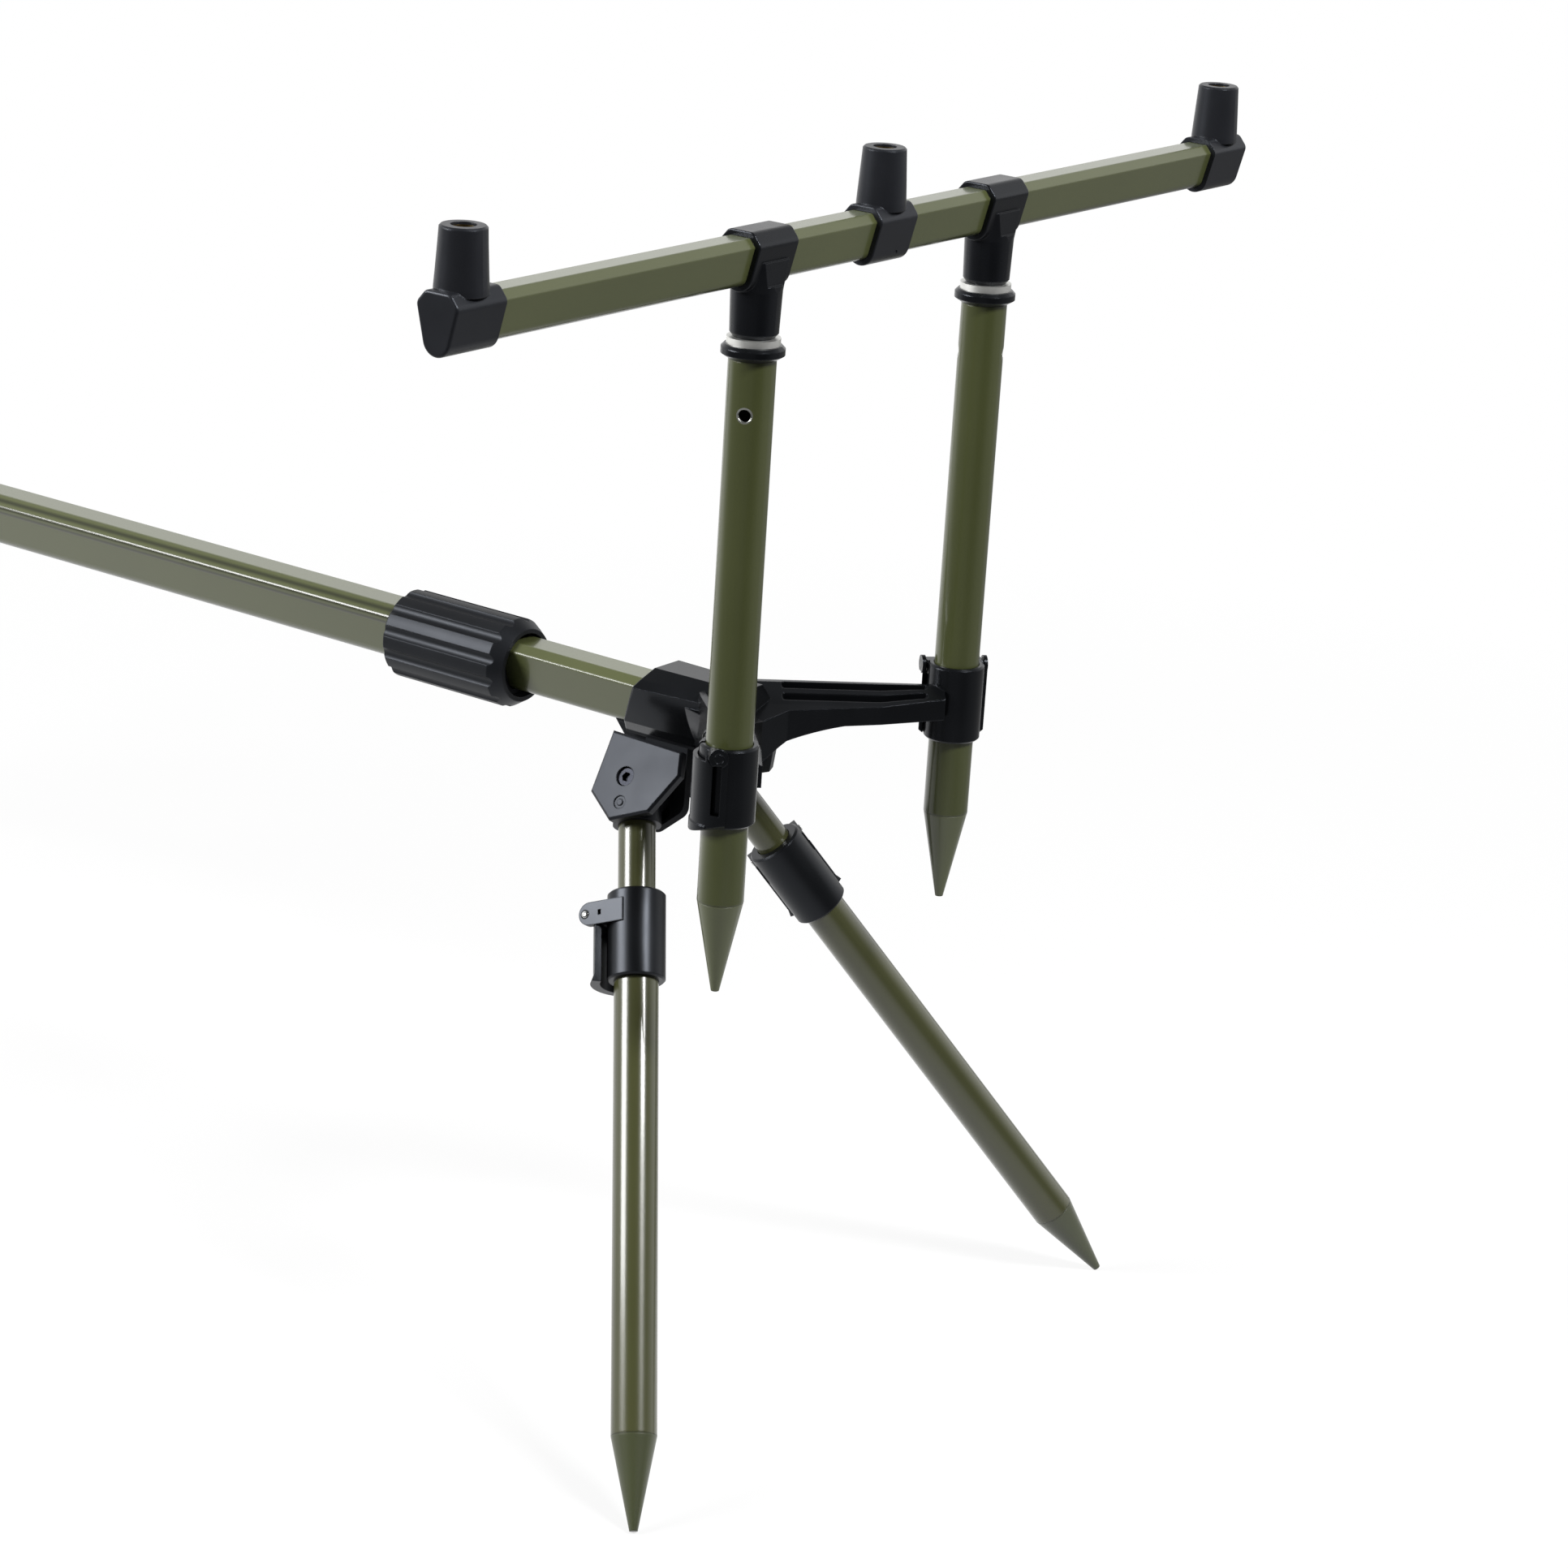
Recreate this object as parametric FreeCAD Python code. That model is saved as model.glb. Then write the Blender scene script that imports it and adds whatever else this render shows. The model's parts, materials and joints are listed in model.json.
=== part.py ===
import FreeCAD
import Part
import math
import os

# Fishing rod pod: a telescopic main bar with a moulded yoke at each end, a height-adjustable goalpost in
# each yoke and two splayed telescopic legs under it. All sizes are millimetres. The pod stands on z = 0
# with its main bar along X. One end is modelled with its uprights at x = 0 and then set at half_span;
# the other end is the same set of pieces turned half round about Z.

V = FreeCAD.Vector
X_AXIS = V(1, 0, 0)
Y_AXIS = V(0, 1, 0)
Z_AXIS = V(0, 0, 1)
ORIGIN = V(0, 0, 0)

# Whole pod
half_span = 450.0
upright_spacing = 160.0
bar_top = 287.8
overrun = 1.0

# Clearances
slide_gap = 0.3
pivot_gap = 0.05
bond_gap = 0.05

# Main bar, inner tube: an upside-down shield section
inner_width = 21.0
inner_height = 23.0
inner_flat = 12.3
inner_shoulder = 3.6
inner_toe = 5.0
inner_wall = 1.3
inner_corner = 1.0
inner_overlap = 150.0

# Main bar, outer tube
outer_wall = 1.2
outer_end = 205.0

# Twist-lock collar on the outer tube's end, with the collet that it turns on
collar_radius = 19.75
collar_rear = 236.0
collar_front = 170.0
collar_chamfer = 6.0
collar_chamfer_depth = 3.6
collar_mouth_radius = 14.2
collar_lip = 5.0
collar_flutes = 12
flute_radius = 3.4
flute_depth = 1.3
collet_radius = 16.6
collet_inset = 3.0

# Yoke: socket for the inner tube
socket_wall = 3.7
socket_roof = 6.6
socket_rear = 109.7
socket_front = 48.0
socket_rear_side = 10.0
socket_front_side = 2.6
socket_rounding = 0.9
socket_slant = 15.7
socket_rear_shares = ((0.21, 1), (0.405, 0.874), (0.5, 0.781), (0.315, 0.249), (0.159, 0.036), (0.073, 0))
socket_front_shares = ((0.262, 1), (0.397, 0.874), (0.5, 0.781), (0.44, 0.249), (0.222, 0.036), (0.103, 0))

# Yoke: arms
arm_rear_x = 61.0
arm_rear_y = 18.5
arm_root_x = 65.4
arm_root_y = 14.0
crotch_x = 42.0
crotch_y = 13.0
arm_width = 15.5
arm_end_width = 10.3
arm_taper_start = 53.0
arm_top = 291.5
arm_slope = 6.0
arm_root_bottom = 262.0
arch_mid_y = 14.0
arch_mid_bottom = 271.0
arch_end_y = 31.0
arch_end_bottom = 277.0
arm_end_bottom = 279.6
groove_width = 3.9
groove_depth = 4.6
groove_length = 62.0
groove_start = 13.5

# Yoke: gusset between each arm, its lug plate and the socket
gusset_length = 27.0
gusset_width = 13.5
gusset_height = 21.5
gusset_inside = 5.0
gusset_top_shares = ((-1, 0.37), (0, 1), (0, 0), (-1, 0))
gusset_bottom_shares = ((-0.26, 0.185), (0.222, 0.889), (0.222, 0), (-0.26, 0))

# Yoke: sleeves round the uprights
sleeve_radius = 12.0
sleeve_bottom = 267.0
sleeve_height = 33.0
sleeve_rounding = 0.8
sleeve_slit = 2.0

# Sleeve clamp levers
sleeve_lever_angle = 137.0
sleeve_lever_wall = 1.8
sleeve_lever_gap = 0.45
lever_pivot_out = 5.5
lever_pivot_drop = 2.4
lever_eye = 3.9
lever_eye_wall = 1.6
lever_boss = 1.9
lever_pad_radius = 3.6
lever_pad_proud = 0.2
lever_panel_drop = 5.0
lever_overhang = 3.0
lever_bottom_radius = 21.0
lever_tongue_half_angle = 50.0
lever_lip = 0.4
lever_lip_height = 4.5
lever_window_inset = 2.6
lever_window_width = 3.3
lever_window_foot = 6.2
lever_window_head = 3.0

# Leg hinge: where the pivot is and how the leg stands
pivot_x = 83.5
pivot_y = 25.3
pivot_z = 248.1
leg_offset = 2.86
leg_splay = 30.5
leg_swing = 24.2

# Leg hinge: knuckle, a six-sided plate on a round core and a holder for the leg
knuckle_width = 40.3
knuckle_height = 37.1
knuckle_outline_shares = (
    (-0.36, 0.469), (-0.352, -0.272), (-0.002, -0.531), (0.432, -0.313), (0.64, 0.178), (0.561, 0.447))
knuckle_outer = 15.0
knuckle_plate = 4.0
knuckle_inner = 8.5
knuckle_edge = 1.0
knuckle_core_radius = 12.0
holder_radius = 10.2
holder_length = 17.0
mark_radius = 2.8
mark_depth = 0.5
mark_drop = 11.1
mark_shift = 2.1

# Leg hinge: lug plate of the yoke, with its index holes
lug_thickness = 4.5
lug_gap = 0.4
lug_width = 36.5
lug_height = 43.0
lug_outline_shares = (
    (-0.384, 0.628), (-0.384, -0.186), (-0.192, -0.349), (0.186, -0.358), (0.479, -0.093), (0.178, 0.628))
lug_rounding = 5.0
index_radius = 10.6
index_hole = 3.6
index_start = -43.0
index_step = -45.0
index_count = 3

# Leg hinge: pivot bolt and nut
bolt_radius = 2.5
bolt_head_radius = 3.75
bolt_head_height = 3.2
bolt_recess_depth = 4.6
bolt_recess_radius = 4.2
bolt_socket = 2.2
bolt_socket_depth = 2.0
nut_flats = 8.0
nut_height = 4.5

# Legs
upper_radius = 7.9
upper_wall = 1.1
upper_start = 6.8
upper_end_room = 33.3
lower_radius = 9.35
lower_wall = 1.15
lower_inset = 5.5
cone_start = 275.1
tip_radius = 1.7
spike_plug = 9.0

# Leg clamp and its lever
clamp_top = 47.3
clamp_length = 38.0
clamp_radius = 12.25
clamp_rounding = 0.8
right_lever_turn = 0.0
left_lever_turn = 33.0
ear_reach = 17.3
ear_half_height = 5.0
ear_drop = 9.6
ear_inset = -0.7
ear_round_inset = 2.0
ear_thickness = 2.6
ear_offset = 10.3
ear_slot_length = 2.1
ear_slot_width = 1.3
ear_slot_out = 10.4
lever_axle = 1.8
lever_axle_inset = 0.9
cam_radius = 3.0
leg_panel_outer = 17.9
leg_panel_wall = 2.8
leg_panel_half_angle = 47.0
leg_panel_top = 8.0
leg_panel_overhang = 1.2
leg_lip = 1.2
leg_lip_height = 3.4

# Uprights
upright_radius = 9.5
upright_wall = 1.2
upright_tip = 194.6
upright_cone = 39.0
upright_top = 456.0
flange_radius = 12.6
flange_thickness = 5.6
flange_taper = 1.8
flange_rounding = 1.3
flange_plug = 16.0
cross_hole_radius = 2.5
cross_hole_drop = 21.0
right_cross_hole_angle = -65.0
left_cross_hole_angle = 33.0
ring_radius = 10.6
ring_height = 2.8
stud_radius = 4.0
stud_reach = 9.0

# Buzz bar tube: the same kind of section, smaller
buzz_width = 14.6
buzz_height = 19.2
buzz_flat = 8.6
buzz_shoulder = 3.4
buzz_toe = 4.2
buzz_corner = 0.8
buzz_wall = 1.2
buzz_top = 504.8
buzz_half = 265.0

# Mouldings on the buzz bar
band_wall = 2.4
band_half = 12.5
band_edge = 0.6
tee_foot_radius = 8.2
tee_foot_height = 1.8
tee_radius = 9.65
tee_top_radius = 10.2
tee_blend = 2.5
post_base_radius = 10.0
post_top_radius = 8.75
post_height = 22.2
post_foot = 3.0
post_edge = 0.7
post_hole_radius = 4.75
insert_bore = 4.3
insert_length = 14.0
insert_inset = 1.0
dimple_radius = 0.9
dimple_depth = 0.7
dimple_shift = 3.5
post_inset = 13.0
cap_length = 27.0
cap_wall = 2.2
cap_face = 3.0

# Worked out from the sizes above
bar_axis_z = bar_top - inner_height / 2
outer_grow = slide_gap + outer_wall
sleeve_top = sleeve_bottom + sleeve_height
lower_start = clamp_top + lower_inset
upper_end = cone_start - spike_plug - upper_end_room
post_offset = buzz_half + cap_face - post_inset
flange_top = upright_top + flange_thickness
ring_top = flange_top + ring_height
buzz_bottom = buzz_top - buzz_height
arm_angle = math.degrees(math.atan2(upright_spacing / 2 - arm_rear_y - sleeve_radius,
                                    arm_rear_x - sleeve_radius / 2))


def disc(radius, height, base=ORIGIN, direction=Z_AXIS):
    return Part.makeCylinder(radius, height, base, direction)


def block(x0, x1, y0, y1, z0, z1):
    return Part.makeBox(x1 - x0, y1 - y0, z1 - z0, V(x0, y0, z0))


def polygon_face(points):
    return Part.Face(Part.makePolygon(points + [points[0]]))


def turned(outline):
    """Solid of revolution about Z from (radius, height) points."""
    face = polygon_face([V(radius, 0, height) for radius, height in outline])
    return face.revolve(ORIGIN, Z_AXIS, 360)


def joined(shapes):
    return shapes[0].fuse(shapes[1:]).removeSplitter()


def set_in_frame(shape, origin, x_dir, y_dir, z_dir):
    moved = shape.copy()
    place = FreeCAD.Placement(origin, FreeCAD.Rotation(x_dir, y_dir, z_dir, "ZXY"))
    moved.Placement = place.multiply(shape.Placement)
    return moved


def along_bar(shape, x=0.0, y=0.0, z=0.0):
    """Turns a section drawn across and up, with its length along Z, to lie along X."""
    return set_in_frame(shape, V(x, y, z), Y_AXIS, Z_AXIS, X_AXIS)


def along_buzz(shape, y=0.0, z=0.0):
    """Turns a section drawn across and up, with its length along Z, to lie along Y."""
    return set_in_frame(shape, V(0, y, z), -X_AXIS, Z_AXIS, Y_AXIS)


def mirrored(shape):
    """The other side's copy, across the upright plane through the main bar."""
    return shape.mirror(ORIGIN, Y_AXIS)


def side_pair(shape):
    return Part.makeCompound([shape, mirrored(shape)])


def edges_at(shape, test):
    """Edges whose middle point passes the test."""
    found = []
    for edge in shape.Edges:
        if test(edge.CenterOfMass, edge):
            found.append(edge)
    return found


def shield_wire(width, height, flat, shoulder, toe, corner, grow):
    """Flat top, bevelled shoulders, sides that draw in, round toe. Top at zero, drawn across X and up Y."""
    core_toe = toe - corner
    toe_centre = V(0, toe - height, 0)
    point = V(width / 2 - corner, -shoulder, 0)
    reach = (point - toe_centre).Length
    turn = math.atan2(point.y - toe_centre.y, point.x) - math.acos(core_toe / reach)
    right = toe_centre + V(math.cos(turn), math.sin(turn), 0) * core_toe
    left = V(-right.x, right.y, 0)
    low = toe_centre - V(0, core_toe, 0)
    top = [V(-flat / 2, -corner, 0), V(flat / 2, -corner, 0)]
    edges = [
        Part.LineSegment(top[0], top[1]).toShape(),
        Part.LineSegment(top[1], point).toShape(),
        Part.LineSegment(point, right).toShape(),
        Part.Arc(right, low, left).toShape(),
        Part.LineSegment(left, V(-point.x, point.y, 0)).toShape(),
        Part.LineSegment(V(-point.x, point.y, 0), top[0]).toShape(),
    ]
    return Part.Wire(edges).makeOffset2D(corner + grow)


def bar_section(grow, length):
    wire = shield_wire(inner_width, inner_height, inner_flat, inner_shoulder, inner_toe, inner_corner, grow)
    return Part.Face(wire).extrude(V(0, 0, length))


def buzz_section(grow, length):
    wire = shield_wire(buzz_width, buzz_height, buzz_flat, buzz_shoulder, buzz_toe, buzz_corner, grow)
    return Part.Face(wire).extrude(V(0, 0, length))


def bar_prism(grow, x0, x1):
    return along_bar(bar_section(grow, x1 - x0), x=x0, z=bar_top)


def buzz_prism(grow, y0, y1):
    return along_buzz(buzz_section(grow, y1 - y0), y=y0, z=buzz_top)


# Main bar

def outer_tube():
    """Middle tube of the main bar, open at both ends, in the whole pod's frame."""
    reach = half_span - outer_end
    skin = bar_prism(outer_grow, -reach, reach)
    bore = bar_prism(slide_gap, -reach - overrun, reach + overrun)
    return skin.cut(bore)


def inner_tube():
    """Sliding tube: fast in the yoke's socket, free in the outer tube."""
    rear = -outer_end - inner_overlap
    front = -socket_front - socket_wall
    skin = bar_prism(0, rear, front)
    bore = bar_prism(-inner_wall, rear - overrun, front + overrun)
    return skin.cut(bore)


def collet():
    """Nylon collet: its rear half grips the outer tube, its nose is bored to the inner tube's section."""
    rear = -collar_rear + collet_inset
    nose = -collar_front - collar_lip - slide_gap
    body = disc(collet_radius, nose - rear, V(rear, 0, bar_axis_z), X_AXIS)
    grip = bar_prism(outer_grow + bond_gap, rear - overrun, -outer_end + bond_gap)
    bore = bar_prism(slide_gap, rear - overrun, nose + overrun)
    return body.cut(grip).cut(bore)


def collar():
    """Twist-lock collar: scalloped grip, bevelled nose and a round mouth round the inner tube."""
    length = collar_rear - collar_front
    bore = collet_radius + slide_gap
    outline = [
        (bore, 0), (collar_radius - sleeve_rounding, 0), (collar_radius, sleeve_rounding),
        (collar_radius, length - collar_chamfer),
        (collar_radius - collar_chamfer_depth, length), (collar_mouth_radius, length),
        (collar_mouth_radius, length - collar_lip), (bore, length - collar_lip)]
    grip = turned(outline)
    centre = collar_radius + flute_radius - flute_depth
    tools = []
    for index in range(collar_flutes):
        angle = math.radians(360 * (index + 0.5) / collar_flutes)
        base = V(centre * math.cos(angle), centre * math.sin(angle), -overrun)
        tools.append(disc(flute_radius, length + 2 * overrun, base))
    grip = grip.cut(tools)
    return set_in_frame(grip, V(-collar_rear, 0, bar_axis_z), Y_AXIS, Z_AXIS, X_AXIS)


# Yoke

def hinge_frame(shape):
    """Sets a shape drawn on the right leg's hinge plane, pivot at zero and outward along Z, in place."""
    splay = math.radians(leg_splay)
    up = V(0, math.sin(splay), math.cos(splay))
    out = V(0, -math.cos(splay), math.sin(splay))
    return set_in_frame(shape, V(-pivot_x, -pivot_y, pivot_z), X_AXIS, up, out)


def leg_axes():
    """Where the right leg's axis starts, level with its pivot, and the leg's own three directions."""
    splay = math.radians(leg_splay)
    swing = math.radians(leg_swing)
    down = V(math.sin(swing), -math.cos(swing) * math.sin(splay), -math.cos(swing) * math.cos(splay))
    out = V(0, -math.cos(splay), math.sin(splay))
    across = down.cross(out)
    return V(-pivot_x, -pivot_y, pivot_z) + across * leg_offset, out, across, down


def leg_frame(shape):
    """Sets a shape drawn with the leg's axis down Z, and outward along X, in place."""
    return set_in_frame(shape, *leg_axes())


def arm_point(along, across, z):
    """A point on the right arm: along it from its rear root corner, and across it towards the front."""
    turn = math.radians(arm_angle)
    direction = V(math.cos(turn), -math.sin(turn), 0)
    front = V(math.sin(turn), math.cos(turn), 0)
    return V(-arm_rear_x, -arm_rear_y, z) + direction * along + front * across


def arm_reach():
    """Along the right arm to the point that the sleeve's barrel hides."""
    return (V(0, -upright_spacing / 2, 0) - arm_point(0, 0, 0)).Length - sleeve_radius / 2


def arm_plan():
    """Right arm seen from above, out to the middle of its sleeve, and in to the socket."""
    reach = arm_reach()
    return [
        V(-arm_root_x, -arm_root_y, 0),
        arm_point(0, 0, 0),
        arm_point(reach, 0, 0),
        arm_point(reach, arm_end_width, 0),
        arm_point(arm_taper_start, arm_width, 0),
        V(-crotch_x + socket_wall, -crotch_y, 0),
        V(-crotch_x, 0, 0),
        V(-arm_root_x, 0, 0),
    ]


def arm():
    """Right arm: a plan extruded, arched underneath, sloped on top and channelled between three ribs."""
    base = arm_root_bottom - overrun
    plan = polygon_face([V(p.x, p.y, base) for p in arm_plan()])
    body = plan.extrude(V(0, 0, arm_top - base))
    half = upright_spacing / 2
    arch = Part.Arc(V(0, 0, arm_root_bottom), V(0, -arch_mid_y, arch_mid_bottom),
                    V(0, -arch_end_y, arch_end_bottom)).toShape()
    floor = base - overrun
    skirt = Part.makePolygon([V(0, -arch_end_y, arch_end_bottom), V(0, -half, arm_end_bottom),
                              V(0, -half, floor), V(0, 0, floor), V(0, 0, arm_root_bottom)])
    under = Part.Face(Part.Wire([arch] + skirt.Edges)).extrude(V(2 * half_span, 0, 0))
    under.translate(V(-half_span, 0, 0))
    body = body.cut(under)
    reach = 2 * upright_spacing
    lift = arm_top - arm_slope
    wedge = polygon_face([
        arm_point(-reach, arm_width * 0.2, arm_top), arm_point(-reach, reach, arm_top),
        arm_point(-reach, reach, lift - arm_slope * reach / arm_width),
        arm_point(-reach, arm_width, lift)])
    wedge = wedge.extrude(arm_point(reach, 0, 0) - arm_point(-reach, 0, 0))
    body = body.cut(wedge)
    rib = (arm_width - 2 * groove_width) / 3
    end = (V(0, -half, 0) - arm_point(0, 0, 0)).Length - groove_start
    start = end - groove_length
    narrowed = (end - arm_taper_start) / (arm_reach() - arm_taper_start)
    narrow = 1 - narrowed * (1 - arm_end_width / arm_width)
    tools = []
    for index in range(2):
        low = rib + index * (groove_width + rib)
        high = low + groove_width
        depth = arm_top - groove_depth - arm_slope * high / arm_width / 2
        corners = [(start, low), (arm_taper_start, low), (end, low * narrow), (end, high * narrow),
                   (arm_taper_start, high), (start, high)]
        face = polygon_face([arm_point(s, p, depth) for s, p in corners])
        tool = face.extrude(V(0, 0, 2 * groove_depth))
        bend = arm_point(arm_taper_start, low, depth + groove_depth)
        ends = edges_at(tool, lambda c, e: abs(e.tangentAt(e.FirstParameter).z) > 0.9
                        and (c - bend).Length > 2 * groove_width)
        tools.append(tool.makeFillet(groove_width * narrow * 0.45, ends))
    return body.cut(tools)


def gusset():
    """Web that draws in from the arm's root down to the lug plate, lofted between two outlines."""
    wires = []
    for shares, z in ((gusset_top_shares, arm_root_bottom + gusset_height),
                      (gusset_bottom_shares, arm_root_bottom)):
        points = [V(-arm_rear_x + gusset_length * u, -gusset_inside - gusset_width * v, z) for u, v in shares]
        wires.append(Part.makePolygon(points + [points[0]]))
    return Part.makeLoft(wires, True, True)


def lug_plate():
    """Right lug plate: hangs from the socket on the hinge plane, with a pivot hole and index holes."""
    top = -knuckle_inner - lug_gap
    points = [V(lug_width * u, lug_height * v, top - lug_thickness) for u, v in lug_outline_shares]
    plate = polygon_face(points).extrude(V(0, 0, lug_thickness))
    low = edges_at(plate, lambda c, e: c.y < 0 and abs(e.tangentAt(e.FirstParameter).z) > 0.9)
    plate = plate.makeFillet(lug_rounding, low)
    holes = [disc(bolt_radius + bond_gap, lug_thickness + 2 * overrun,
                  V(0, 0, top - lug_thickness - overrun))]
    for index in range(index_count):
        angle = math.radians(index_start + index * index_step)
        base = V(index_radius * math.cos(angle), index_radius * math.sin(angle),
                 top - lug_thickness - overrun)
        holes.append(disc(index_hole, lug_thickness + 2 * overrun, base))
    return hinge_frame(plate.cut(holes))


def lever_dir(angle):
    """Outward direction of a right-hand sleeve lever, and the direction across it."""
    turn = math.radians(-angle)
    out = V(math.cos(turn), math.sin(turn), 0)
    return out, Z_AXIS.cross(out)


def sleeve_frame(shape):
    """Sets a shape drawn about the sleeve's axis, lever side along X, at the right sleeve."""
    out, across = lever_dir(sleeve_lever_angle)
    return set_in_frame(shape, V(0, -upright_spacing / 2, 0), out, across, Z_AXIS)


def sleeve():
    """Right sleeve: round barrel with rounded rims and the two bosses that its lever turns on."""
    barrel = turned([
        (0, sleeve_bottom), (sleeve_radius - sleeve_rounding, sleeve_bottom),
        (sleeve_radius, sleeve_bottom + sleeve_rounding), (sleeve_radius, sleeve_top - sleeve_rounding),
        (sleeve_radius - sleeve_rounding, sleeve_top), (0, sleeve_top)])
    height = sleeve_top - lever_pivot_drop
    pad = sleeve_radius + lever_pad_proud
    reach = pad + sleeve_lever_gap + lever_eye_wall
    pads = disc(lever_pad_radius, 2 * pad, V(lever_pivot_out, -pad, height), Y_AXIS)
    pads = pads.common(disc(sleeve_radius * 2, sleeve_height, V(0, 0, sleeve_bottom)))
    bosses = disc(lever_boss, 2 * reach, V(lever_pivot_out, -reach, height), Y_AXIS)
    return sleeve_frame(barrel.fuse([pads, bosses]))


def socket():
    """Socket's outside: lofted from a wide bevelled rear section to a narrow front one, rear end slanted."""
    low = bar_top - inner_height - socket_wall
    high = bar_top + socket_roof
    wires = []
    for shares, side, x in ((socket_rear_shares, socket_rear_side, -socket_rear),
                            (socket_front_shares, socket_front_side, -socket_front)):
        width = inner_width + 2 * side
        half = [(width * u, low + (high - low) * v) for u, v in shares]
        points = [V(x, -y, z) for y, z in half] + [V(x, y, z) for y, z in reversed(half)]
        wires.append(Part.makePolygon(points + [points[0]]))
    outer = Part.makeLoft(wires, True, True)
    slant = Part.makePolygon([V(-socket_rear, -half_span, low), V(-socket_rear + socket_slant, -half_span, high),
                              V(-2 * socket_rear, -half_span, high), V(-2 * socket_rear, -half_span, low),
                              V(-socket_rear, -half_span, low)])
    outer = outer.cut(Part.Face(slant).extrude(V(0, 2 * half_span, 0)))
    rims = edges_at(outer, lambda c, e: abs(c.x + socket_rear - socket_slant * (c.z - low) / (high - low))
                    < pivot_gap)
    return outer.makeFillet(socket_rounding, rims)


def head():
    """The yoke, one moulding: socket, two arms, two sleeves and two lug plates."""
    outer = socket()
    right = [arm(), gusset(), sleeve(), lug_plate()]
    body = outer.fuse(right + [mirrored(piece) for piece in right])
    bar_room = bar_prism(bond_gap, -socket_rear - overrun, -socket_front - socket_wall + bond_gap)
    upright_room = disc(upright_radius + slide_gap, sleeve_height + 2 * overrun,
                        V(0, -upright_spacing / 2, sleeve_bottom - overrun))
    slit = sleeve_frame(block(0, sleeve_radius + overrun, -sleeve_slit / 2, sleeve_slit / 2,
                              sleeve_bottom - overrun, sleeve_top + overrun))
    cuts = [bar_room]
    for tool in (upright_room, slit):
        cuts += [tool, mirrored(tool)]
    return body.cut(cuts).removeSplitter()


def pivot_bolts():
    """Two socket-head bolts through the lugs and knuckles, each with its nut behind the lug."""
    head_base = knuckle_outer - bolt_recess_depth + slide_gap
    back = -knuckle_inner - lug_gap - lug_thickness
    shank = disc(bolt_radius, head_base - back + nut_height, V(0, 0, back - nut_height))
    cap = disc(bolt_head_radius, bolt_head_height, V(0, 0, head_base))
    key = polygon_face([V(bolt_socket * math.cos(math.radians(60 * i)),
                          bolt_socket * math.sin(math.radians(60 * i)),
                          head_base + bolt_head_height - bolt_socket_depth) for i in range(6)])
    bolt = shank.fuse(cap).cut(key.extrude(V(0, 0, bolt_socket_depth + overrun)))
    corner = nut_flats / 2 / math.cos(math.radians(30))
    nut = polygon_face([V(corner * math.cos(math.radians(60 * i)), corner * math.sin(math.radians(60 * i)),
                          back - nut_height) for i in range(6)]).extrude(V(0, 0, nut_height - bond_gap))
    nut = nut.cut(disc(bolt_radius + bond_gap, nut_height + 2 * overrun,
                       V(0, 0, back - nut_height - overrun)))
    pair = [hinge_frame(bolt), hinge_frame(nut)]
    return Part.makeCompound(pair + [mirrored(piece) for piece in pair])


def wedge_prism(half_angle, reach, low, high):
    """Upright prism over a wedge that opens along X from the Z axis."""
    side = reach * math.tan(math.radians(half_angle))
    face = polygon_face([V(0, 0, low), V(reach, -side, low), V(reach, side, low)])
    return face.extrude(V(0, 0, high - low))


def sleeve_lever():
    """Right sleeve's clamp lever: a half-round shell with windowed cheeks, turning on two bosses."""
    inner = sleeve_radius + sleeve_lever_gap
    outer = inner + sleeve_lever_wall
    height = sleeve_top - lever_pivot_drop
    low = sleeve_bottom - lever_overhang
    crown = height + lever_eye
    shell = disc(outer, crown - low, V(0, 0, low)).cut(disc(inner, crown - low, V(0, 0, low)))
    back = lever_pivot_out - lever_eye
    shell = shell.common(block(back, outer, -outer, outer, low, crown))
    tongue = wedge_prism(lever_tongue_half_angle, 2 * outer, low, crown)
    across = upright_radius + slide_gap
    between = block(0, outer, -across, across, sleeve_top - lever_panel_drop, crown)
    lip = turned([(inner, low), (outer + lever_lip, low), (outer + lever_lip, low + lever_lip_height - lever_lip),
                  (outer, low + lever_lip_height), (inner, low + lever_lip_height)])
    shell = shell.cut(between).fuse(lip.common(tongue))
    swell = low + lever_bottom_radius
    round_end = disc(lever_bottom_radius, 2 * outer, V(0, 0, swell), X_AXIS)
    shell = shell.cut(block(0, 2 * outer, -2 * outer, 2 * outer, low - overrun, swell).cut(round_end))
    trim = disc(lever_eye, 4 * outer, V(lever_pivot_out, -2 * outer, height), Y_AXIS)
    upper = block(-outer, 2 * outer, -outer, outer, height, crown + overrun)
    shell = shell.cut(upper.cut(trim))
    face = sleeve_radius + lever_pad_proud + sleeve_lever_gap
    clear = disc(lever_eye + slide_gap, 2 * face, V(lever_pivot_out, -face, height), Y_AXIS)
    eyes = [disc(lever_eye, lever_eye_wall, V(lever_pivot_out, y, height), Y_AXIS)
            for y in (face, -face - lever_eye_wall)]
    shell = shell.cut(clear).fuse(eyes)
    window_start = back + lever_window_inset
    window = block(window_start, window_start + lever_window_width, -2 * outer, 2 * outer,
                   sleeve_bottom + lever_window_foot, height - lever_window_head)
    holes = disc(lever_boss + pivot_gap, 4 * outer, V(lever_pivot_out, -2 * outer, height), Y_AXIS)
    return sleeve_frame(shell.cut([window, holes]))


# Legs

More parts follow.
